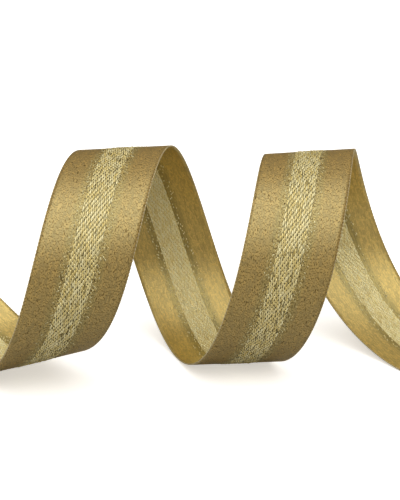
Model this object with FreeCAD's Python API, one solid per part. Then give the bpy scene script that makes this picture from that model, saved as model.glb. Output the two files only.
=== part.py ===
import FreeCAD, Part
import math
import os

# A curled length of woven gift ribbon. It stands on a table in three open
# turns, and at each end a short tail lies flat on the table.
#
# The ribbon is one woven strip of seven bands side by side: a metallic stripe
# in the middle, a border and a satin band on each side of it, and a corded
# selvedge along each edge. Each band is one closed solid.
#
# A ribbon bends but it doesn't stretch, so its surface is a developable one.
# Its centre line turns in vertical planes that lean towards +X by an angle
# called the lean, and at each point the cloth is straight along one line, the
# ruling, which lies across the strip at the angle that the lean asks for.

os.makedirs("parts", exist_ok=True)

# Driving dimensions, in millimetres and degrees.
CLOTH_THICKNESS = 0.4
STRIPE_WIDTH = 7.0
BORDER_WIDTH = 2.0
SATIN_WIDTH = 6.5
SELVEDGE_WIDTH = 0.5
LEFT_TAIL_LENGTH = 55.0
RIGHT_TAIL_LENGTH = 50.0

# The shape of the curl, one value for each quarter of a turn. The strip is at
# the top of a turn at the phases -1, 0 and 1, and on the table at -1.5, -0.5,
# 0.5 and 1.5, where the list has one value more beyond each end.
FIRST_PHASE = -1.75
PHASE_STEP = 0.25
LEAN = [20, 20, 20, 36, 50, 40, 13, 8, 18, 22, 16, 4, 19, 40, 20]
BEND_RADIUS = [28, 28, 29.5, 32, 37, 37, 27, 36, 32, 29.5, 32, 30, 24, 54, 70]
START_PHASE = -1.5
END_PHASE = 1.5

# How finely the curves are worked out, in steps per turn.
POINTS_PER_TURN = 24
STEPS_PER_POINT = 20


def blend(values, phase, order=0):
    """Smooth curve through the control values, or its first or second slope per turn."""
    total = 0.0
    for index, value in enumerate(values):
        x = (phase - FIRST_PHASE) / PHASE_STEP - index
        far = abs(x)
        side = 1 if x > 0 else -1
        if far >= 2:
            continue
        if order == 0:
            weight = (2 - far) ** 3 / 6 if far > 1 else (4 - 6 * far**2 + 3 * far**3) / 6
        elif order == 1:
            weight = side * (-((2 - far) ** 2) / 2 if far > 1 else (-4 * far + 3 * far**2) / 2)
        else:
            weight = (2 - far) if far > 1 else 3 * far - 2
        total += value * weight / PHASE_STEP**order
    return total


def directions(phase):
    """Unit vectors along the strip, across it and out of its inner face, and the ruling's skew."""
    turn = 2 * math.pi
    theta = turn * phase
    lean = math.radians(blend(LEAN, phase))
    lean_1 = math.radians(blend(LEAN, phase, 1)) / turn
    lean_2 = math.radians(blend(LEAN, phase, 2)) / turn**2
    cos_lean = math.cos(lean)
    sin_lean = math.sin(lean)
    along = FreeCAD.Vector(sin_lean, cos_lean * math.cos(theta), -cos_lean * math.sin(theta))
    inward = FreeCAD.Vector(
        lean_1 * cos_lean,
        -lean_1 * sin_lean * math.cos(theta) - cos_lean * math.sin(theta),
        lean_1 * sin_lean * math.sin(theta) - cos_lean * math.cos(theta),
    )
    inward.normalize()
    across = inward.cross(along)
    spread = cos_lean**2 + lean_1**2
    skew = (cos_lean * lean_2 + sin_lean * lean_1**2) / spread**1.5 + sin_lean / math.sqrt(spread)
    return along, across, inward, skew


def centre_line():
    """Phases and points of the strip's centre line, by Simpson's rule over small steps."""
    count = round((END_PHASE - START_PHASE) * POINTS_PER_TURN)
    phase_step = (END_PHASE - START_PHASE) / count
    small = phase_step / STEPS_PER_POINT
    phases = [START_PHASE]
    points = [FreeCAD.Vector(0, 0, 0)]

    def speed(phase):
        return directions(phase)[0] * (2 * math.pi * blend(BEND_RADIUS, phase))

    for index in range(count):
        point = points[-1]
        for part in range(STEPS_PER_POINT):
            begin = phases[-1] + part * small
            middle = speed(begin + small / 2)
            point = point + (speed(begin) + middle * 4 + speed(begin + small)) * (small / 6)
        points.append(point)
        phases.append(START_PHASE + (index + 1) * phase_step)
    return phases, points


PHASES, CENTRES = centre_line()


def strip_point(index, width_offset, height_offset):
    """Point of the cloth on the ruling at a numbered phase."""
    along, across, inward, skew = directions(PHASES[index])
    ruling = across + along * skew
    return CENTRES[index] + ruling * width_offset + inward * height_offset


def tail_end(index, length, width_offset, height_offset):
    """Point on the square-cut end of a flat tail, the given length beyond the last ruling's middle."""
    along, across, inward, skew = directions(PHASES[index])
    return CENTRES[index] + across * width_offset + along * length + inward * height_offset


def curled_edge(width_offset, height_offset):
    """Curve of one long edge of a band, along the curled part."""
    points = [strip_point(index, width_offset, height_offset) for index in range(len(PHASES))]
    slopes = []
    for index in (0, -1):
        along = directions(PHASES[index])[0]
        neighbour = 1 if index == 0 else len(PHASES) - 2
        rate = (points[index] - points[neighbour]).Length / (PHASES[1] - PHASES[0])
        slopes.append(along * rate)
    curve = Part.BSplineCurve()
    curve.interpolate(
        Points=points, Parameters=PHASES, InitialTangent=slopes[0], FinalTangent=slopes[1]
    )
    return curve


def ruled_face(curve, next_curve):
    """Face made of the straight lines that join two edges at each phase."""
    surface = Part.BSplineSurface()
    poles = [curve.getPoles(), next_curve.getPoles()]
    surface.buildFromPolesMultsKnots(
        poles, [2, 2], curve.getMultiplicities(), [0, 1], curve.getKnots(), False, False, 1, curve.Degree
    )
    return surface.toShape()


def flat_face(corners):
    """Plane face through its corners, in order round it."""
    return Part.Face(Part.makePolygon(corners + corners[:1]))


def band(low_offset, high_offset):
    """Closed solid of the strip between two offsets across its width, tails included."""
    half = CLOTH_THICKNESS / 2
    corners = [(low_offset, -half), (high_offset, -half), (high_offset, half), (low_offset, half)]
    curves = [curled_edge(*corner) for corner in corners]
    faces = [ruled_face(curves[side - 1], curves[side]) for side in range(4)]
    for index, length in ((0, -LEFT_TAIL_LENGTH), (-1, RIGHT_TAIL_LENGTH)):
        near = [strip_point(index, *corner) for corner in corners]
        cut = [tail_end(index, length, *corner) for corner in corners]
        for side in range(4):
            faces.append(flat_face([near[side - 1], near[side], cut[side], cut[side - 1]]))
        faces.append(flat_face(cut))
    shell = Part.makeShell(faces)
    shell.sewShape()
    solid = Part.Solid(shell)
    if solid.Volume < 0:
        solid.reverse()
    return solid


def ribbon():
    """The seven bands by name, from the left edge to the right one."""
    layout = [
        ("selvedge_left", SELVEDGE_WIDTH),
        ("satin_band_left", SATIN_WIDTH),
        ("stripe_border_left", BORDER_WIDTH),
        ("metallic_stripe", STRIPE_WIDTH),
        ("stripe_border_right", BORDER_WIDTH),
        ("satin_band_right", SATIN_WIDTH),
        ("selvedge_right", SELVEDGE_WIDTH),
    ]
    ribbon_width = sum(width for name, width in layout)
    offset = -ribbon_width / 2
    bands = {}
    for name, width in layout:
        bands[name] = band(offset, offset + width)
        offset += width
    return bands


# The origin is the middle of the underside of the whole ribbon's box.
BANDS = ribbon()
BOX = Part.makeCompound(list(BANDS.values())).optimalBoundingBox()
ORIGIN = FreeCAD.Vector((BOX.XMin + BOX.XMax) / 2, (BOX.YMin + BOX.YMax) / 2, BOX.ZMin)
for name, solid in BANDS.items():
    solid.translate(-ORIGIN)
    solid.exportStep("parts/" + name + ".step")
    print(name, "valid", solid.isValid(), "volume", round(solid.Volume, 1), "faces", len(solid.Faces))
print("box", round(BOX.XLength, 2), round(BOX.YLength, 2), round(BOX.ZLength, 2))
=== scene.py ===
# %% [markdown]
# A curled length of gift ribbon. It is gold satin with a stripe of metallic
# yarn down its middle and a corded edge on each side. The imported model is
# loaded first: it says how big the ribbon is and where it stands, and
# everything below is made to fit it.

# %% Load the frame
import math

import bpy
import numpy as np
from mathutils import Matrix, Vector


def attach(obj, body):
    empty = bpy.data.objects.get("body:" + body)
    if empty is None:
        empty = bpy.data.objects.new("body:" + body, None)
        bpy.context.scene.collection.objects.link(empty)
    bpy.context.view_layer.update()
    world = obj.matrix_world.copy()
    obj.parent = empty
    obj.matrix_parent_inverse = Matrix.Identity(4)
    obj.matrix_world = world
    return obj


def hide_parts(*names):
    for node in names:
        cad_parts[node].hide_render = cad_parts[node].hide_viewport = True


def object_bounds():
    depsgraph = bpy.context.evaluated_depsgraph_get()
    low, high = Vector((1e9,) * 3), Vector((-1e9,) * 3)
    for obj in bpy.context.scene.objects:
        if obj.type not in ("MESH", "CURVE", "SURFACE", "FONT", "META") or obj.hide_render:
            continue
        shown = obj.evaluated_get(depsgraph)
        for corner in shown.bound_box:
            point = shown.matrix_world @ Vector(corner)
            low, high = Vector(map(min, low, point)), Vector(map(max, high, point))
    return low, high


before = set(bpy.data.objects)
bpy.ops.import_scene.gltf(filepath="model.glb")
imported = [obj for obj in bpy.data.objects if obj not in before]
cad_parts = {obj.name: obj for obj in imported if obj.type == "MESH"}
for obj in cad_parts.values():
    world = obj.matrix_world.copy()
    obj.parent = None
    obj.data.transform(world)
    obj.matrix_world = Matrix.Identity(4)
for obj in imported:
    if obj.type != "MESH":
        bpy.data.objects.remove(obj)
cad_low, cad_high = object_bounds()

MM = 0.001
low, high = np.array(cad_low), np.array(cad_high)
print("frame loaded, box in mm:", np.round((high - low) / MM, 1))

# %% [markdown]
# A ribbon bends but doesn't stretch, so it curls as a developable surface: at
# each place it is straight along one line across the strip, the ruling. The
# whole shape follows from two numbers for each quarter of a turn. One is how
# far the strip leans along the curl, and the other is the radius of its bend.
# A smooth curve follows each list, so a change to one number moves one part of
# the curl, as pulling on a real ribbon does.

# %% The curl's numbers
RIBBON_WIDTH = 25 * MM
CLOTH_THICKNESS = 0.4 * MM
LEFT_TAIL = 55 * MM
RIGHT_TAIL = 50 * MM

# A phase counts turns from the top of the middle turn. Each list below starts
# at FIRST_PHASE and has one value for each PHASE_STEP.
START_PHASE = -1.5
END_PHASE = 1.5
FIRST_PHASE = -1.75
PHASE_STEP = 0.25
LEAN = np.radians([20, 20, 20, 36, 50, 40, 13, 8, 18, 22, 16, 4, 19, 40, 20])
BEND_RADIUS = MM * np.array(
    [28, 28, 29.5, 32, 37, 37, 27, 36, 32, 29.5, 32, 30, 24, 54, 70]
)
print("turns of the curl:", END_PHASE - START_PHASE)


# %% A smooth curve along the numbers
def blend(values, phase, order=0):
    """Smooth curve that follows the values, or its first or second slope.

    Each value weighs in as a cubic hump two steps wide on each side:
    (4 - 6x^2 + 3x^3) / 6 near its middle and (2 - x)^3 / 6 beyond.
    """
    x = (phase[:, None] - FIRST_PHASE) / PHASE_STEP - np.arange(len(values))
    far, side = np.abs(x), np.sign(x)
    near = [
        (4 - 6 * far**2 + 3 * far**3) / 6,
        side * (3 * far**2 - 4 * far) / 2,
        3 * far - 2,
    ][order]
    beyond = [(2 - far) ** 3 / 6, -side * (2 - far) ** 2 / 2, 2 - far][order]
    weight = np.where(far < 1, near, np.where(far < 2, beyond, 0))
    return (weight * values).sum(1) / PHASE_STEP**order


print("lean at the middle turn's top, degrees:", np.degrees(blend(LEAN, np.zeros(1))).round(1))

# %% [markdown]
# With the lean and the bend known at every place, the ribbon's centre line is
# found by adding up small steps. A table keeps what the rest needs at each
# step: how far along the ribbon it is, where its centre lies, and which way
# the cloth faces there.

# %% The path of the ribbon
CURL_STEPS = 6000
TAIL_SPARE = 20 * MM


def curl_table():
    """Distance, centre, three directions and skew along the curl, without its tails.

    With lean a and turn angle t the strip runs along
    (sin a, cos a cos t, -cos a sin t), and its centre is the sum of that
    direction times the bend radius times each small turn. The skew is how far
    the ruling runs along the strip for each step that it goes across.
    """
    phase = np.linspace(START_PHASE, END_PHASE, CURL_STEPS + 1)
    turn = 2 * np.pi
    angle = turn * phase
    lean = blend(LEAN, phase)
    lean_1 = blend(LEAN, phase, 1) / turn
    lean_2 = blend(LEAN, phase, 2) / turn**2
    cos_l, sin_l, cos_t, sin_t = np.cos(lean), np.sin(lean), np.cos(angle), np.sin(angle)
    along = np.stack([sin_l, cos_l * cos_t, -cos_l * sin_t], 1)
    inward = np.stack(
        [
            lean_1 * cos_l,
            -lean_1 * sin_l * cos_t - cos_l * sin_t,
            lean_1 * sin_l * sin_t - cos_l * cos_t,
        ],
        1,
    )
    inward /= np.linalg.norm(inward, axis=1, keepdims=True)
    across = np.cross(inward, along)
    spread = cos_l**2 + lean_1**2
    skew = (cos_l * lean_2 + sin_l * lean_1**2) / spread**1.5 + sin_l / np.sqrt(spread)
    speed = turn * blend(BEND_RADIUS, phase)
    gap = phase[1] - phase[0]
    stride = along * speed[:, None]
    centre = np.zeros_like(along)
    centre[1:] = np.cumsum((stride[1:] + stride[:-1]) / 2 * gap, axis=0)
    distance = np.zeros(len(phase))
    distance[1:] = np.cumsum((speed[1:] + speed[:-1]) / 2 * gap)
    return distance, centre, along, across, inward, skew


def repeat_ends(values):
    """The values with the first and the last one written twice."""
    return np.concatenate([values[:1], values, values[-1:]])


def with_tails(table, left, right):
    """The table with a straight flat tail added at each end, a little longer than the cloth."""
    distance, centre, *directions = table
    along = directions[0]
    left_reach = left + TAIL_SPARE
    right_reach = right + TAIL_SPARE
    first = centre[0] - along[0] * left_reach
    last = centre[-1] + along[-1] * right_reach
    distance = np.concatenate([[-left_reach], distance, [distance[-1] + right_reach]]) + left
    centre = np.concatenate([[first], centre, [last]])
    return distance, centre, *[repeat_ends(values) for values in directions]


curl = curl_table()
RIBBON_LENGTH = LEFT_TAIL + curl[0][-1] + RIGHT_TAIL
TABLE = with_tails(curl, LEFT_TAIL, RIGHT_TAIL)
print("ribbon length in mm:", round(RIBBON_LENGTH / MM, 1))

# %% [markdown]
# Now any spot of the flat ribbon can be sent to its place on the curled one.
# A spot is named by its distance along the ribbon, its offset across it and
# its height off the cloth's middle. The cloth and every yarn on it are placed
# by this one function, so they can't drift apart.

# %% From the flat ribbon to the curled one
RULING_ROUNDS = 6
RIM_STEPS = 8000
SHIFT = np.zeros(3)


def on_cloth(u, v, height):
    """Place of the flat ribbon's spot u along, v across, height towards the inner face.

    The ruling through the spot meets the centre line at s, where
    s + v * skew(s) = u. A few rounds of s = u - v * skew(s) find it.
    """
    distance, centre, along, across, inward, skew = TABLE
    u, v, height = np.broadcast_arrays(u, v, height)
    s = u - v * np.interp(u, distance, skew)
    for _ in range(RULING_ROUNDS):
        s = u - v * np.interp(s, distance, skew)

    def read(rows):
        """The table's rows at the distances s."""
        return np.stack([np.interp(s, distance, rows[:, i]) for i in range(3)], -1)

    ruling = read(across) + read(along) * np.interp(s, distance, skew)[..., None]
    return read(centre) + ruling * v[..., None] + read(inward) * height[..., None] + SHIFT


# The curl is made anywhere first. Then it moves so that the middle of its box
# is the middle of the frame's.
rim_u = np.linspace(0, RIBBON_LENGTH, RIM_STEPS + 1)[:, None, None]
rim_v = np.array([-0.5, 0.5])[None, :, None] * RIBBON_WIDTH
rim_h = np.array([-0.5, 0.5])[None, None, :] * CLOTH_THICKNESS
rim = on_cloth(rim_u, rim_v, rim_h).reshape(-1, 3)
SHIFT = (low + high) / 2 - (rim.min(0) + rim.max(0)) / 2
print("box against the frame's, mm:", np.round((np.ptp(rim, axis=0) - (high - low)) / MM, 3))

# %% [markdown]
# Every piece below is a grid of points with two directions. One helper turns
# such grids into meshes: the points go in as one array, and the faces are
# counted out in whole arrays too. A tube's grid closes round its section, and
# each of its ends gets a cap.

# %% Faces of a grid
def tube_faces(rings, around):
    """Quads of one closed tube whose points are numbered ring by ring."""
    ring, spot = np.meshgrid(np.arange(rings - 1), np.arange(around), indexing="ij")
    after = (spot + 1) % around
    corners = [ring * around + spot, ring * around + after]
    sides = np.stack([corners[0], corners[1], corners[1] + around, corners[0] + around], -1)
    half = np.arange(around // 2 - 1)
    cap = np.stack([half, around - 1 - half, around - 2 - half, half + 1], -1)
    last = (rings - 1) * around
    return np.concatenate([sides.reshape(-1, 4), cap, cap[:, ::-1] + last])


print("faces of a tube of 2 rings with 4 points each:", len(tube_faces(2, 4)))


# %% Meshes from grids
def add_mesh(name, points, faces, uv=None, bake_uv=None, tone=None, material=None):
    """Mesh object from points (n, 3) and quads (m, 4), with maps given per corner."""
    mesh = bpy.data.meshes.new(name)
    mesh.vertices.add(len(points))
    mesh.vertices.foreach_set("co", np.ascontiguousarray(points, np.float32).ravel())
    mesh.loops.add(faces.size)
    mesh.loops.foreach_set("vertex_index", faces.astype(np.int32).ravel())
    mesh.polygons.add(len(faces))
    mesh.polygons.foreach_set("loop_start", np.arange(0, faces.size, 4, dtype=np.int32))
    mesh.polygons.foreach_set("use_smooth", np.ones(len(faces), bool))
    mesh.update(calc_edges=True)
    for map_name, values in (("weave", uv), ("OFBake", bake_uv)):
        if values is not None:
            layer = mesh.uv_layers.new(name=map_name)
            layer.data.foreach_set("uv", np.ascontiguousarray(values, np.float32).ravel())
    if tone is not None:
        layer = mesh.attributes.new("tone", "FLOAT", "POINT")
        layer.data.foreach_set("value", np.ascontiguousarray(tone, np.float32).ravel())
    piece = bpy.data.objects.new(name, mesh)
    bpy.context.scene.collection.objects.link(piece)
    if material is not None:
        mesh.materials.append(material)
    print(name, "has", len(points), "points and", 2 * len(faces), "triangles")
    return piece


# %% [markdown]
# The finishes are node networks, and a few small helpers keep them short. The
# first adds a node with its values, and the others add a sum, a smooth step or
# a mix of colours. Each accepts a number or another node's socket.

# %% Node helpers
def put(tree, kind, inputs=None, **settings):
    """Node of a kind in a tree, with its settings and input values or links."""
    node = tree.nodes.new(kind)
    for key, value in settings.items():
        setattr(node, key, value)
    for key, value in (inputs or {}).items():
        if isinstance(value, bpy.types.NodeSocket):
            tree.links.new(value, node.inputs[key])
        else:
            node.inputs[key].default_value = value
    return node


def calc(tree, operation, *values):
    """Socket with the result of a math node."""
    return put(tree, "ShaderNodeMath", dict(enumerate(values)), operation=operation).outputs[0]


def ramp(tree, value, low_in, high_in, low_out=0.0, high_out=1.0):
    """Socket that goes smoothly from one output to the other as the value passes the two inputs."""
    names = ["Value", "From Min", "From Max", "To Min", "To Max"]
    inputs = dict(zip(names, [value, low_in, high_in, low_out, high_out]))
    node = put(tree, "ShaderNodeMapRange", inputs, interpolation_type="SMOOTHSTEP")
    return node.outputs["Result"]


def mix_color(tree, factor, first, second):
    """Socket with two colours mixed by a factor.

    A mix node keeps its colours in inputs 6 and 7 and gives their mix in output 2.
    """
    return put(tree, "ShaderNodeMix", {0: factor, 6: first, 7: second}, data_type="RGBA").outputs[2]


# %% Groups and materials
def new_group(name, inputs, outputs):
    """Shader node group with float inputs, given as name and default, and float outputs."""
    group = bpy.data.node_groups.new(name, "ShaderNodeTree")
    for socket_name, value in inputs.items():
        socket = group.interface.new_socket(
            name=socket_name, in_out="INPUT", socket_type="NodeSocketFloat"
        )
        socket.default_value = value
    for socket_name in outputs:
        group.interface.new_socket(name=socket_name, in_out="OUTPUT", socket_type="NodeSocketFloat")
    return group, group.nodes.new("NodeGroupInput"), group.nodes.new("NodeGroupOutput")


def use_group(tree, group, inputs):
    """The group placed in a tree, with its inputs set or linked."""
    return put(tree, "ShaderNodeGroup", inputs, node_tree=group)


def new_material(name):
    """Empty node material with its Principled shader and its output."""
    material = bpy.data.materials.new(name)
    material.use_nodes = True
    tree = material.node_tree
    tree.nodes.clear()
    output = tree.nodes.new("ShaderNodeOutputMaterial")
    shader = tree.nodes.new("ShaderNodeBsdfPrincipled")
    tree.links.new(shader.outputs[0], output.inputs[0])
    return material, tree, shader


def set_gloss(shader, ior, tint):
    """Give a shader a strong reflection of one tint."""
    shader.inputs["IOR"].default_value = ior
    shader.inputs["Specular IOR Level"].default_value = 1.0
    shader.inputs["Specular Tint"].default_value = tint


# %% [markdown]
# Satin is a weave in which each lengthwise yarn floats over several cross
# yarns and dips under one. The dips of neighbouring yarns are shifted by a
# step, and in real cloth they also wander a little along each yarn. So the eye
# sees fine dots that never line up for long, between smooth floats. The dots
# are painted dark in the cloth's colour: painted shade in the dips. The group
# below works out, for any spot of the flat cloth, how high the yarn stands
# there, how near the spot is to a dip, which sets the painted shade, and a tone
# that differs from float to float. Lengths are in millimetres, and steps are
# shares of a repeat.

# %% The numbers of the weave
SATIN_WEAVE = {"Yarn pitch": 0.3, "Repeat": 1.1, "Step": 0.39, "Wander": 2.5}
SPECK_WEAVE = {"Yarn pitch": 0.42, "Repeat": 1.1, "Step": 0.365, "Wander": 3.0}
WANDER_ALONG = 0.4
WANDER_ACROSS = 3.7
DIP_CORE = 0.05
DIP_END = 0.2
CROWN_EDGE = (0.1, 0.7)
CROWN_SHARE = 0.6
DIP_SPREAD = 0.6
dip_area = SATIN_WEAVE["Yarn pitch"] * SATIN_WEAVE["Repeat"]
print("dips in a square millimetre of satin:", round(1 / dip_area, 1))


# %% The floating weave
def floating_weave():
    """Group: height, painted dip shade and tone of floating yarns, from millimetres along and across."""
    values = {"Along": 0.0, "Across": 0.0, **SATIN_WEAVE}
    group, source, sink = new_group("Floating weave", values, ["Height", "Dip shade", "Tone"])
    along, across, pitch, repeat, step, wander = [source.outputs[name] for name in values]
    column = calc(group, "DIVIDE", across, pitch)
    number = calc(group, "FLOOR", column)
    beside = calc(group, "SUBTRACT", calc(group, "FRACT", column), 0.5)
    square = calc(group, "MULTIPLY", beside, beside)
    crown = calc(group, "SUBTRACT", 1.0, calc(group, "MULTIPLY", 4.0, square))
    cloud_u = calc(group, "MULTIPLY", along, WANDER_ALONG)
    cloud_v = calc(group, "MULTIPLY", number, WANDER_ACROSS)
    spot = put(group, "ShaderNodeCombineXYZ", {"X": cloud_u, "Y": cloud_v})
    cloud = {"Vector": spot.outputs[0], "Scale": 1.0, "Detail": 0.0}
    slip = put(group, "ShaderNodeTexNoise", cloud, noise_dimensions="2D").outputs[0]
    start = calc(group, "MULTIPLY_ADD", number, step, calc(group, "MULTIPLY", slip, wander))
    shifted = calc(group, "ADD", calc(group, "DIVIDE", along, repeat), start)
    place = calc(group, "SUBTRACT", calc(group, "FRACT", shifted), 0.5)
    from_dip = calc(group, "SUBTRACT", 0.5, calc(group, "ABSOLUTE", place))
    sunk = ramp(group, from_dip, DIP_CORE, DIP_END, 1.0, 0.0)
    dip = calc(group, "MULTIPLY", sunk, ramp(group, crown, *CROWN_EDGE))
    rounded = calc(group, "MULTIPLY_ADD", crown, CROWN_SHARE, 1 - CROWN_SHARE)
    height = calc(group, "MULTIPLY", ramp(group, from_dip, 0.0, DIP_END), rounded)
    seed = put(group, "ShaderNodeCombineXYZ", {"X": number, "Y": calc(group, "FLOOR", shifted)})
    draw = {"Vector": seed.outputs[0]}
    tone = put(group, "ShaderNodeTexWhiteNoise", draw, noise_dimensions="2D").outputs["Value"]
    depth = calc(group, "MULTIPLY_ADD", tone, DIP_SPREAD, 1 - DIP_SPREAD)
    group.links.new(height, sink.inputs["Height"])
    group.links.new(calc(group, "MULTIPLY", dip, depth), sink.inputs["Dip shade"])
    group.links.new(tone, sink.inputs["Tone"])
    return group


WEAVE = floating_weave()
print("weave group has", len(WEAVE.nodes), "nodes")

# %% [markdown]
# The cloth's material reads the piece's own flat map, so the weave bends with
# the ribbon. Its colour goes from satin to the border and to the ground of the
# stripe by the distance from the middle line, in millimetres. The two faces of
# the ribbon differ in their weave, and the inner face's colours are also painted
# lighter: painted light that stands in for the light reaching inside the curl.
# So the cloth's mesh carries a number that is 0 on the outer face and 1 on the
# inner one, and the pairs below are for those two.

# %% Colours of the cloth
STRIPE_EDGE = 3.5
STRIPE_SOFTNESS = 0.1
BORDER_EDGE = 5.5
BORDER_SOFTNESS = 1.0
SATIN_COLOR = (0.34, 0.203, 0.046, 1)
# Painted light: the inner face's satin is painted lighter, standing in for the light that reaches inside
# the curl.
INNER_SATIN_PAINTED_LIGHT = (0.50, 0.33, 0.078, 1)
BORDER_COLOR = (0.34, 0.225, 0.055, 1)
INNER_BORDER_COLOR = (0.32, 0.22, 0.048, 1)
# Painted shade: the satin's dips are painted this dark colour.
DIP_SHADE_COLOR = (0.06, 0.035, 0.01, 1)
# Painted shade: dark specks at the dips of the mixed weave beside the stripe.
SPECK_SHADE_COLOR = (0.05, 0.032, 0.01, 1)
# Painted shade: the outer stripe's ground is painted dark so that the gaps between its floats read as
# shade.
GAP_SHADE_COLOR = (0.11, 0.075, 0.022, 1)
# Painted light: the inner face's ground is painted light, standing in for the light inside the curl.
INNER_GROUND_PAINTED_LIGHT = (0.66, 0.50, 0.18, 1)
SATIN_TINT = (0.90, 0.90, 0.52, 1)
print("border colour gives way to satin", BORDER_EDGE, "mm off the middle line")

# %% Strengths on the two faces
DIP_SHADE_STRENGTH = (1.0, 0.3)
SPECK_SHADE_STRENGTH = (1.1, 0.4)
SATIN_METALLIC = (0.12, 0.3)
SATIN_ROUGHNESS = (0.38, 0.28)
SATIN_IOR = 1.8
SHADE_SPREAD = 0.55
DARKEST_SHADE = 0.75
BUMP = {"Strength": 0.35, "Distance": 0.1 * MM}
print("satin roughness, outer and inner face:", SATIN_ROUGHNESS)


# %% Cloth material
def flat_spot(tree):
    """Sockets with the spot's place along and across the flat ribbon, in millimetres."""
    flat = put(tree, "ShaderNodeUVMap", uv_map="weave").outputs[0]
    scale = {0: flat, 1: (1 / MM, 1 / MM, 0)}
    scaled = put(tree, "ShaderNodeVectorMath", scale, operation="MULTIPLY")
    parts = put(tree, "ShaderNodeSeparateXYZ", {0: scaled.outputs[0]})
    return parts.outputs[0], parts.outputs[1]


def cloth_material():
    """Satin with mixed borders and the ground under the stripe, with painted shade in dips and gaps and
    painted light on the inner face.
    """
    material, tree, shader = new_material("Gold satin")
    along, across = flat_spot(tree)
    off_centre = calc(tree, "ABSOLUTE", across)
    face = put(tree, "ShaderNodeAttribute", attribute_name="tone").outputs["Fac"]
    spot = {"Along": along, "Across": across}
    weave = use_group(tree, WEAVE, {**spot, **SATIN_WEAVE})
    # The inner face takes a lighter copy of the satin: painted light.
    satin = mix_color(tree, face, SATIN_COLOR, INNER_SATIN_PAINTED_LIGHT)
    border = mix_color(tree, face, BORDER_COLOR, INNER_BORDER_COLOR)
    border_start = BORDER_EDGE - BORDER_SOFTNESS
    border_end = BORDER_EDGE + BORDER_SOFTNESS
    base = mix_color(tree, ramp(tree, off_centre, border_start, border_end), border, satin)
    shade = calc(tree, "MULTIPLY_ADD", weave.outputs["Tone"], SHADE_SPREAD, DARKEST_SHADE)
    toned = put(tree, "ShaderNodeVectorMath", {0: base, "Scale": shade}, operation="SCALE")
    # Painted shade in the dips, weaker on the inner face.
    dips = calc(tree, "MULTIPLY", weave.outputs["Dip shade"], ramp(tree, face, 0, 1, *DIP_SHADE_STRENGTH))
    dip_shaded = mix_color(tree, dips, toned.outputs[0], DIP_SHADE_COLOR)
    # Painted shade: specks beside the stripe, fading with the distance from it.
    strength = ramp(tree, face, 0, 1, *SPECK_SHADE_STRENGTH)
    near_stripe = ramp(tree, off_centre, STRIPE_EDGE, border_end, strength, 0.0)
    mixed = use_group(tree, WEAVE, {**spot, **SPECK_WEAVE})
    speck_shade = calc(tree, "MULTIPLY", mixed.outputs["Dip shade"], near_stripe)
    speck_shaded = mix_color(tree, speck_shade, dip_shaded, SPECK_SHADE_COLOR)
    # The ground under the stripe: painted shade on the outer face, painted light on the inner one.
    under = mix_color(tree, face, GAP_SHADE_COLOR, INNER_GROUND_PAINTED_LIGHT)
    stripe_start = STRIPE_EDGE - STRIPE_SOFTNESS
    stripe_end = STRIPE_EDGE + STRIPE_SOFTNESS
    in_stripe = ramp(tree, off_centre, stripe_start, stripe_end, 1.0, 0.0)
    color = mix_color(tree, in_stripe, speck_shaded, under)
    # The painted shade in dips and specks is also made metallic, which darkens it further.
    painted_shade_marks = calc(tree, "MAXIMUM", dips, speck_shade)
    metallic = calc(tree, "MAXIMUM", painted_shade_marks, ramp(tree, face, 0, 1, *SATIN_METALLIC))
    bump = put(tree, "ShaderNodeBump", {"Height": weave.outputs["Height"], **BUMP})
    tree.links.new(color, shader.inputs["Base Color"])
    tree.links.new(metallic, shader.inputs["Metallic"])
    tree.links.new(bump.outputs[0], shader.inputs["Normal"])
    tree.links.new(ramp(tree, face, 0, 1, *SATIN_ROUGHNESS), shader.inputs["Roughness"])
    set_gloss(shader, SATIN_IOR, SATIN_TINT)
    return material


SATIN = cloth_material()
print("cloth material has", len(SATIN.node_tree.nodes), "nodes")

# %% [markdown]
# The cloth itself is one closed sheet: the outer face, the inner face, and the
# thin walls at its sides and its two cut ends. Its grid has a row of points
# about every millimetre along and across, fine enough for smooth bends. It has
# a second map too, on which a texture can be painted: the long ribbon is cut
# there into four lengths for each face, laid one above the other.

# %% The cloth
ROWS = int(round(RIBBON_LENGTH / MM)) + 1
COLUMNS = 25
CORD_ROOM = 0.3 * MM
BAKE_ROWS = 4
BAKE_FILL = 0.94
BAKE_MARGIN = 0.003


def cloth_sheet():
    """Closed sheet: grid over length and width, outer face first and inner face back."""
    u = np.linspace(0, RIBBON_LENGTH, ROWS)
    v = np.linspace(-0.5, 0.5, COLUMNS + 1) * (RIBBON_WIDTH - CORD_ROOM)
    ring_v = np.concatenate([v, v[::-1]])
    ring_h = np.repeat([-0.5, 0.5], len(v)) * CLOTH_THICKNESS
    points = on_cloth(u[:, None], ring_v[None, :], ring_h[None, :])
    faces = tube_faces(ROWS, len(ring_v))
    flat = np.stack(np.broadcast_arrays(u[:, None], ring_v[None, :]), -1).reshape(-1, 2)
    side = np.broadcast_to(ring_h > 0, points.shape[:2]).ravel()
    uv = flat[faces]
    middle = uv.mean(1)
    piece_length = RIBBON_LENGTH / BAKE_ROWS
    row = np.clip(np.floor(middle[:, 0] / piece_length), 0, BAKE_ROWS - 1)
    row = row + BAKE_ROWS * side[faces].all(1)
    height = 1 / (2 * BAKE_ROWS)
    bake_u = (uv[..., 0] - (row % BAKE_ROWS)[:, None] * piece_length) / piece_length
    bake_v = (uv[..., 1] / RIBBON_WIDTH * BAKE_FILL + 0.5 + row[:, None]) * height
    bake = np.stack([BAKE_MARGIN + (1 - 2 * BAKE_MARGIN) * bake_u, bake_v], -1)
    tone = side.astype(float)
    return add_mesh("ribbon_cloth", points.reshape(-1, 3), faces, uv, bake, tone, SATIN)


cloth = cloth_sheet()

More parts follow.
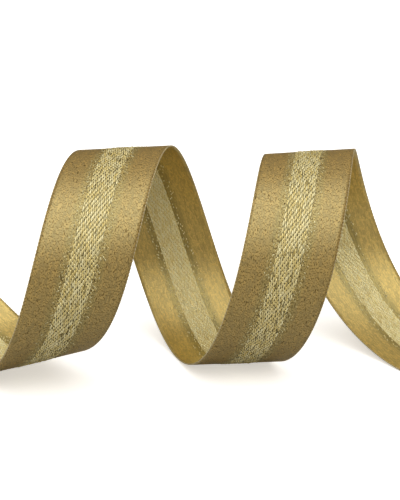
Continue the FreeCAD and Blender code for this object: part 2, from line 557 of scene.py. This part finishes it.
# %% [markdown]
# The stripe is woven from flat metallic yarn. Each yarn floats over the cloth
# for about two millimetres, dives under, and comes up again, and the next yarn
# does the same a little further on, so the dives line up in slanting rows.
# No two floats lie at quite the same tilt, and that is what glitters. They are
# made as real yarns, because a stripe that sparkles needs facets that catch
# the light one by one.

# %% Floats of yarn
OUTER = -1
INNER = 1
YARN_HALF_THICKNESS = 0.035 * MM
YARN_SINK = 0.06 * MM


def float_points(u, v, length, width, lift, roll, twist, face):
    """Closed flat yarns, one for each u and v: rings along, four points round each.

    Along a float the height rises and falls as lift * (1 - x^4), x from -1
    to 1, and the section turns by roll + twist * x. The section is a lens:
    two edges, a crown and an underside. The float's ends sink into the cloth.
    """
    x = np.array([-1, -0.5, 0.5, 1])[None, :, None]
    place = np.array([[-1, 0], [0, 1], [1, 0], [0, -1]])
    angle = roll[:, None, None] + twist[:, None, None] * x
    side = place[None, None, :, 0] * width[:, None, None] / 2
    rise = place[None, None, :, 1] * YARN_HALF_THICKNESS
    off = side * np.cos(angle) - rise * np.sin(angle)
    arch = lift[:, None, None] * (1 - x**4) - YARN_SINK
    up = side * np.sin(angle) + rise * np.cos(angle) + arch
    height = face * (CLOTH_THICKNESS / 2 + up)
    spot_u = u[:, None, None] + x * length[:, None, None] / 2
    return on_cloth(spot_u, v[:, None, None] + off, height)


def add_floats(name, points, tone, face, material):
    """One piece made of many closed yarns."""
    count, rings, around = points.shape[:3]
    faces = tube_faces(rings, around)
    if face == INNER:
        faces = faces[:, ::-1]
    every = faces[None] + (np.arange(count) * rings * around)[:, None, None]
    tones = np.repeat(tone, rings * around)
    points = points.reshape(-1, 3)
    return add_mesh(name, points, every.reshape(-1, 4), tone=tones, material=material)


print("floats rise from", YARN_SINK / MM, "mm inside the cloth's faces")

# %% [markdown]
# Metallic yarn is a narrow strip of bright film. It mirrors the room only in
# part, so most of its colour is its own. Each float carries a tone of its own,
# from deep to pale, and the paler it is the glossier it is.

# %% Yarn materials
YARN_IOR = 2.0
YARN_TINT = (1.0, 0.94, 0.66, 1)
ROUGHNESS_SPREAD = 0.1


def yarn_material(name, pale, deep, roughness, metallic):
    """Yarn whose colour goes from deep to pale with each float's own tone."""
    material, tree, shader = new_material(name)
    tone = put(tree, "ShaderNodeAttribute", attribute_name="tone").outputs["Fac"]
    gloss = ramp(tree, tone, 0, 1, roughness + ROUGHNESS_SPREAD, roughness)
    tree.links.new(mix_color(tree, tone, deep, pale), shader.inputs["Base Color"])
    tree.links.new(gloss, shader.inputs["Roughness"])
    shader.inputs["Metallic"].default_value = metallic
    set_gloss(shader, YARN_IOR, YARN_TINT)
    return material


METAL = yarn_material("Metallic yarn", (1.0, 0.88, 0.48, 1), (0.84, 0.64, 0.20, 1), 0.12, 0.2)
# Painted light: the inner face's yarn is painted paler, standing in for the light inside the curl.
INNER_METAL_PAINTED_LIGHT = yarn_material(
    "Inner metallic yarn with painted light", (1.0, 0.91, 0.50, 1), (1.0, 0.83, 0.36, 1), 0.12, 0.0
)
GLINT = yarn_material("Border yarn", (1.0, 0.90, 0.50, 1), (0.60, 0.44, 0.14, 1), 0.2, 0.5)
print("yarn materials:", METAL.name, "/", INNER_METAL_PAINTED_LIGHT.name, "/", GLINT.name)

# %% [markdown]
# Twenty yarns lie side by side in the stripe. Everything about a float varies a
# little: where it lies, how long, wide and high it is, how it tilts and how it
# twists. A quarter of the floats tilt much more, so that some catch the light
# where the rest don't. Widths and lifts are in millimetres, lengths are shares
# of FLOAT_LENGTH, and tilts and twists are in radians.

# %% The stripe
YARN_PITCH = 0.35 * MM
FLOAT_REPEAT = 2.1 * MM
FLOAT_LENGTH = 2.0 * MM
FLOAT_STEP = 0.78 * MM
STRIPE_YARNS = 20
FIRST_FLOAT = 0.8
END_ROOM = 0.3 * MM
SCATTER_ALONG = 0.1 * MM
SCATTER_ACROSS = 0.02 * MM
LENGTH_RANGE = (0.92, 1.06)
WIDTH_RANGE = (0.36, 0.44)
LIFT_RANGE = (0.10, 0.20)
ROLL = 0.18
STRAY_ROLL = 0.7
STRAY_SHARE = 0.25
TWIST = 0.4
random = np.random.default_rng(11)


def stripe(name, face):
    """Floats of the stripe on one face, in slanting rows."""
    per_yarn = int(RIBBON_LENGTH / FLOAT_REPEAT) - 1
    number, order = np.meshgrid(np.arange(STRIPE_YARNS), np.arange(per_yarn), indexing="ij")
    v = (number - (STRIPE_YARNS - 1) / 2) * YARN_PITCH
    u = (order + FIRST_FLOAT) * FLOAT_REPEAT + (number * FLOAT_STEP) % FLOAT_REPEAT
    u, v = u.ravel(), v.ravel()
    keep = u + FLOAT_LENGTH / 2 < RIBBON_LENGTH - END_ROOM
    u, v = u[keep], v[keep]
    count = len(u)
    place = u + random.normal(0, SCATTER_ALONG, count)
    offset = v + random.normal(0, SCATTER_ACROSS, count)
    length = FLOAT_LENGTH * random.uniform(*LENGTH_RANGE, count)
    width = random.uniform(*WIDTH_RANGE, count) * MM
    lift = random.uniform(*LIFT_RANGE, count) * MM
    roll = random.normal(0, ROLL, count)
    stray = random.normal(0, STRAY_ROLL, count)
    roll = roll + stray * (random.uniform(0, 1, count) < STRAY_SHARE)
    twist = random.normal(0, TWIST, count)
    points = float_points(place, offset, length, width, lift, roll, twist, face)
    tone = random.uniform(0, 1, count)
    return add_floats(name, points, tone, face, METAL if face == OUTER else INNER_METAL_PAINTED_LIGHT)


stripe_outer = stripe("metallic_stripe_outer", OUTER)
stripe_inner = stripe("metallic_stripe_inner", INNER)

# %% [markdown]
# Beside the stripe the metallic yarn is thinned out. On the outer face short
# floats show here and there among the satin, and fewer of them the further they
# are from the stripe. On the inner face such floats are spread evenly over the
# stripe and its borders, and stand a little higher, which breaks up the gloss.
# Their lengths, widths and lifts are in millimetres.

# %% The borders
OUTER_BORDER = {"yarns": 6, "inset": 0.0, "raised": 0.0, "chance": 0.8}
INNER_BORDER = {"yarns": 16, "inset": 3.4 * MM, "raised": 0.14 * MM, "chance": 0.25}
SHORT_END_ROOM = 2 * MM
SHORT_SCATTER = 0.03 * MM
SHORT_LENGTH_RANGE = (0.35, 0.75)
SHORT_WIDTH_RANGE = (0.22, 0.32)
SHORT_LIFT_RANGE = (0.08, 0.12)
SHORT_ROLL = 0.40
SHORT_TWIST = 0.30


def borders(name, face):
    """Short sparse floats on both sides of one face's middle line."""
    kind = OUTER_BORDER if face == OUTER else INNER_BORDER
    yarns = np.arange(kind["yarns"])
    per_yarn = 2 * int(RIBBON_LENGTH / FLOAT_REPEAT) - 2
    number, order, side = np.meshgrid(yarns, np.arange(per_yarn), [-1, 1], indexing="ij")
    thinning = 1 - number / len(yarns) if face == OUTER else 1
    keep = random.uniform(0, 1, number.shape) < kind["chance"] * thinning
    number, order, side = number[keep], order[keep], side[keep]
    v = side * (STRIPE_EDGE * MM - kind["inset"] + (number + 0.5) * YARN_PITCH)
    u = (order / 2 + FIRST_FLOAT) * FLOAT_REPEAT + (number * FLOAT_STEP) % FLOAT_REPEAT
    inside = u < RIBBON_LENGTH - SHORT_END_ROOM
    u, v = u[inside], v[inside]
    count = len(u)
    offset = v + random.normal(0, SHORT_SCATTER, count)
    length = random.uniform(*SHORT_LENGTH_RANGE, count) * MM
    width = random.uniform(*SHORT_WIDTH_RANGE, count) * MM
    lift = random.uniform(*SHORT_LIFT_RANGE, count) * MM + kind["raised"]
    roll = random.normal(0, SHORT_ROLL, count)
    twist = random.normal(0, SHORT_TWIST, count)
    points = float_points(u, offset, length, width, lift, roll, twist, face)
    tone = random.uniform(0, 1, count)
    return add_floats(name, points, tone, face, GLINT if face == OUTER else INNER_METAL_PAINTED_LIGHT)


borders_outer = borders("border_glints_outer", OUTER)
borders_inner = borders("border_glints_inner", INNER)

# %% [markdown]
# At each edge the cross yarns turn round a cord and go back in. The selvedge
# therefore looks like a fine rope: pale beads, one to each millimetre, that
# lean across the edge.

# %% The selvedges
BEAD_PITCH = 1.0 * MM
BEAD_STEPS = 8
AROUND = 8
CORD_INSET = 0.2 * MM
CORD_THIN = 0.12 * MM
CORD_SWELL = 0.1 * MM
PALE = yarn_material("Selvedge yarn", (0.62, 0.51, 0.30, 1), (0.42, 0.31, 0.12, 1), 0.55, 0.2)


def selvedge(name, side):
    """Rope along one edge: a tube whose radius swells once a bead, on a slant round it.

    radius = thin + swell * |cos(pi * u / pitch + angle / 2)|. The crests
    of the beads are painted palest, a painted highlight, and the hollows
    between them are painted deep, painted shade.
    """
    steps = int(RIBBON_LENGTH / BEAD_PITCH * BEAD_STEPS)
    u = np.linspace(0, RIBBON_LENGTH, steps + 1)[:, None]
    angle = (np.arange(AROUND) / AROUND * 2 * np.pi)[None, :]
    wave = np.abs(np.cos(np.pi * u / BEAD_PITCH + angle / 2))
    radius = CORD_THIN + CORD_SWELL * wave
    v = side * (RIBBON_WIDTH / 2 - CORD_INSET) + radius * np.cos(angle)
    points = on_cloth(u, v, radius * np.sin(angle))
    # Painted highlight on each bead's crest and painted shade in the hollows between beads.
    tone = np.broadcast_to(wave**3, points.shape[:2]).ravel()
    faces = tube_faces(steps + 1, AROUND)[:, ::-1]
    return add_mesh(name, points.reshape(-1, 3), faces, tone=tone, material=PALE)


selvedge_left = selvedge("selvedge_left_cord", -1)
selvedge_right = selvedge("selvedge_right_cord", 1)

# %% [markdown]
# Each piece now says which body it rides on, and the parts of the packed model
# that the pieces stand for are hidden.

# %% Declarations
pieces = [cloth, stripe_outer, stripe_inner, borders_outer, borders_inner, selvedge_left, selvedge_right]
for piece in pieces:
    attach(piece, "root")
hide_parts("satin_band_left", "satin_band_right", "stripe_border_left", "stripe_border_right")
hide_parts("metallic_stripe")
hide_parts("selvedge_left")
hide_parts("selvedge_right")
print("pieces declared:", len(pieces))

# %% [markdown]
# The stage is a plain white floor. To the camera it is bright and glows a
# little, so it ends in clean white, but it throws less light back up at the
# ribbon than it seems to, so that the undersides stay dark.

# %% Floor
FLOOR_HALF = 3.0
FLOOR_GAP = 0.05 * MM
FLOOR_ROUGHNESS = 0.9
BOUNCE_COLOR = (0.52, 0.52, 0.52, 1)
FLOOR_COLOR = (0.95, 0.95, 0.95, 1)
BOUNCE_GLOW = (0, 0, 0, 1)
FLOOR_GLOW = (0.58, 0.55, 0.50, 1)


def floor_plane():
    """Square floor just under the ribbon."""
    corners = np.array([[-1, -1, 0], [1, -1, 0], [1, 1, 0], [-1, 1, 0]])
    points = corners * FLOOR_HALF
    points[:, 2] = low[2] - FLOOR_GAP
    material, tree, shader = new_material("White floor")
    seen = put(tree, "ShaderNodeLightPath").outputs["Is Camera Ray"]
    color = mix_color(tree, seen, BOUNCE_COLOR, FLOOR_COLOR)
    glow = mix_color(tree, seen, BOUNCE_GLOW, FLOOR_GLOW)
    tree.links.new(color, shader.inputs["Base Color"])
    tree.links.new(glow, shader.inputs["Emission Color"])
    shader.inputs["Emission Strength"].default_value = 1.0
    shader.inputs["Roughness"].default_value = FLOOR_ROUGHNESS
    return add_mesh("floor", points, np.array([[0, 1, 2, 3]]), material=material)


floor_plane()

# %% [markdown]
# The light is a wide soft dome that is brightest overhead and towards the front,
# and dark near the horizon, as in a small product studio: satin shows its bends
# only if there is something bright and something dark for it to mirror. The
# edges below are about the cosines of the angle to the softbox's middle.

# %% Light
SOFTBOX_DIRECTION = (0.0, -0.41, 0.91)
SOFTBOX_EDGE = (0.68, 0.94)
SOFTBOX_STRENGTH = 2.1
ROOM_EDGE = (-0.4, 0.6)
ROOM_STRENGTH = (0.08, 0.4)


def studio_world():
    """Sky with one wide soft light overhead, towards the front, in a dim room."""
    world = bpy.data.worlds.new("Studio")
    bpy.context.scene.world = world
    world.use_nodes = True
    tree = world.node_tree
    tree.nodes.clear()
    output = tree.nodes.new("ShaderNodeOutputWorld")
    direction = put(tree, "ShaderNodeTexCoord").outputs["Generated"]
    pair = {0: direction, 1: SOFTBOX_DIRECTION}
    towards = put(tree, "ShaderNodeVectorMath", pair, operation="DOT_PRODUCT").outputs["Value"]
    softbox = ramp(tree, towards, *SOFTBOX_EDGE, 0.0, SOFTBOX_STRENGTH)
    room = ramp(tree, towards, *ROOM_EDGE, *ROOM_STRENGTH)
    strength = calc(tree, "ADD", softbox, room)
    seen = put(tree, "ShaderNodeLightPath").outputs["Is Camera Ray"]
    shown = calc(tree, "MAXIMUM", strength, seen)
    sky = put(tree, "ShaderNodeBackground", {"Color": (1, 1, 1, 1), "Strength": shown})
    tree.links.new(sky.outputs[0], output.inputs[0])
    bpy.context.scene.view_settings.view_transform = "Standard"


studio_world()
print("world is", bpy.context.scene.world.name)

# %% [markdown]
# The camera stands in front of the curl, a little above it, with a long lens.

# %% Camera
CAMERA_DISTANCE = 402.8 * MM
CAMERA_ELEVATION = math.radians(17.65)
CAMERA_AIM = Vector((22.3, 0, -28.4)) * MM
LENS = 103.2
CLIP_START = 10 * MM


def add_camera():
    """Camera that looks along +Y, aimed a little right of the middle turn and below its top."""
    phase = np.linspace(START_PHASE, END_PHASE, CURL_STEPS + 1)
    middle = LEFT_TAIL + np.interp(0, phase, curl[0])
    top = on_cloth(np.array(middle), np.array(0.0), np.array(0.0))
    aim = Vector(top) + CAMERA_AIM
    forward = Vector((0, math.cos(CAMERA_ELEVATION), -math.sin(CAMERA_ELEVATION)))
    data = bpy.data.cameras.new("Camera")
    data.lens = LENS
    data.clip_start = CLIP_START
    camera = bpy.data.objects.new("Camera", data)
    camera.location = aim - forward * CAMERA_DISTANCE
    camera.rotation_euler = forward.to_track_quat("-Z", "Y").to_euler()
    bpy.context.scene.collection.objects.link(camera)
    bpy.context.scene.camera = camera


add_camera()
print("camera stands at", [round(c, 3) for c in bpy.context.scene.camera.location])
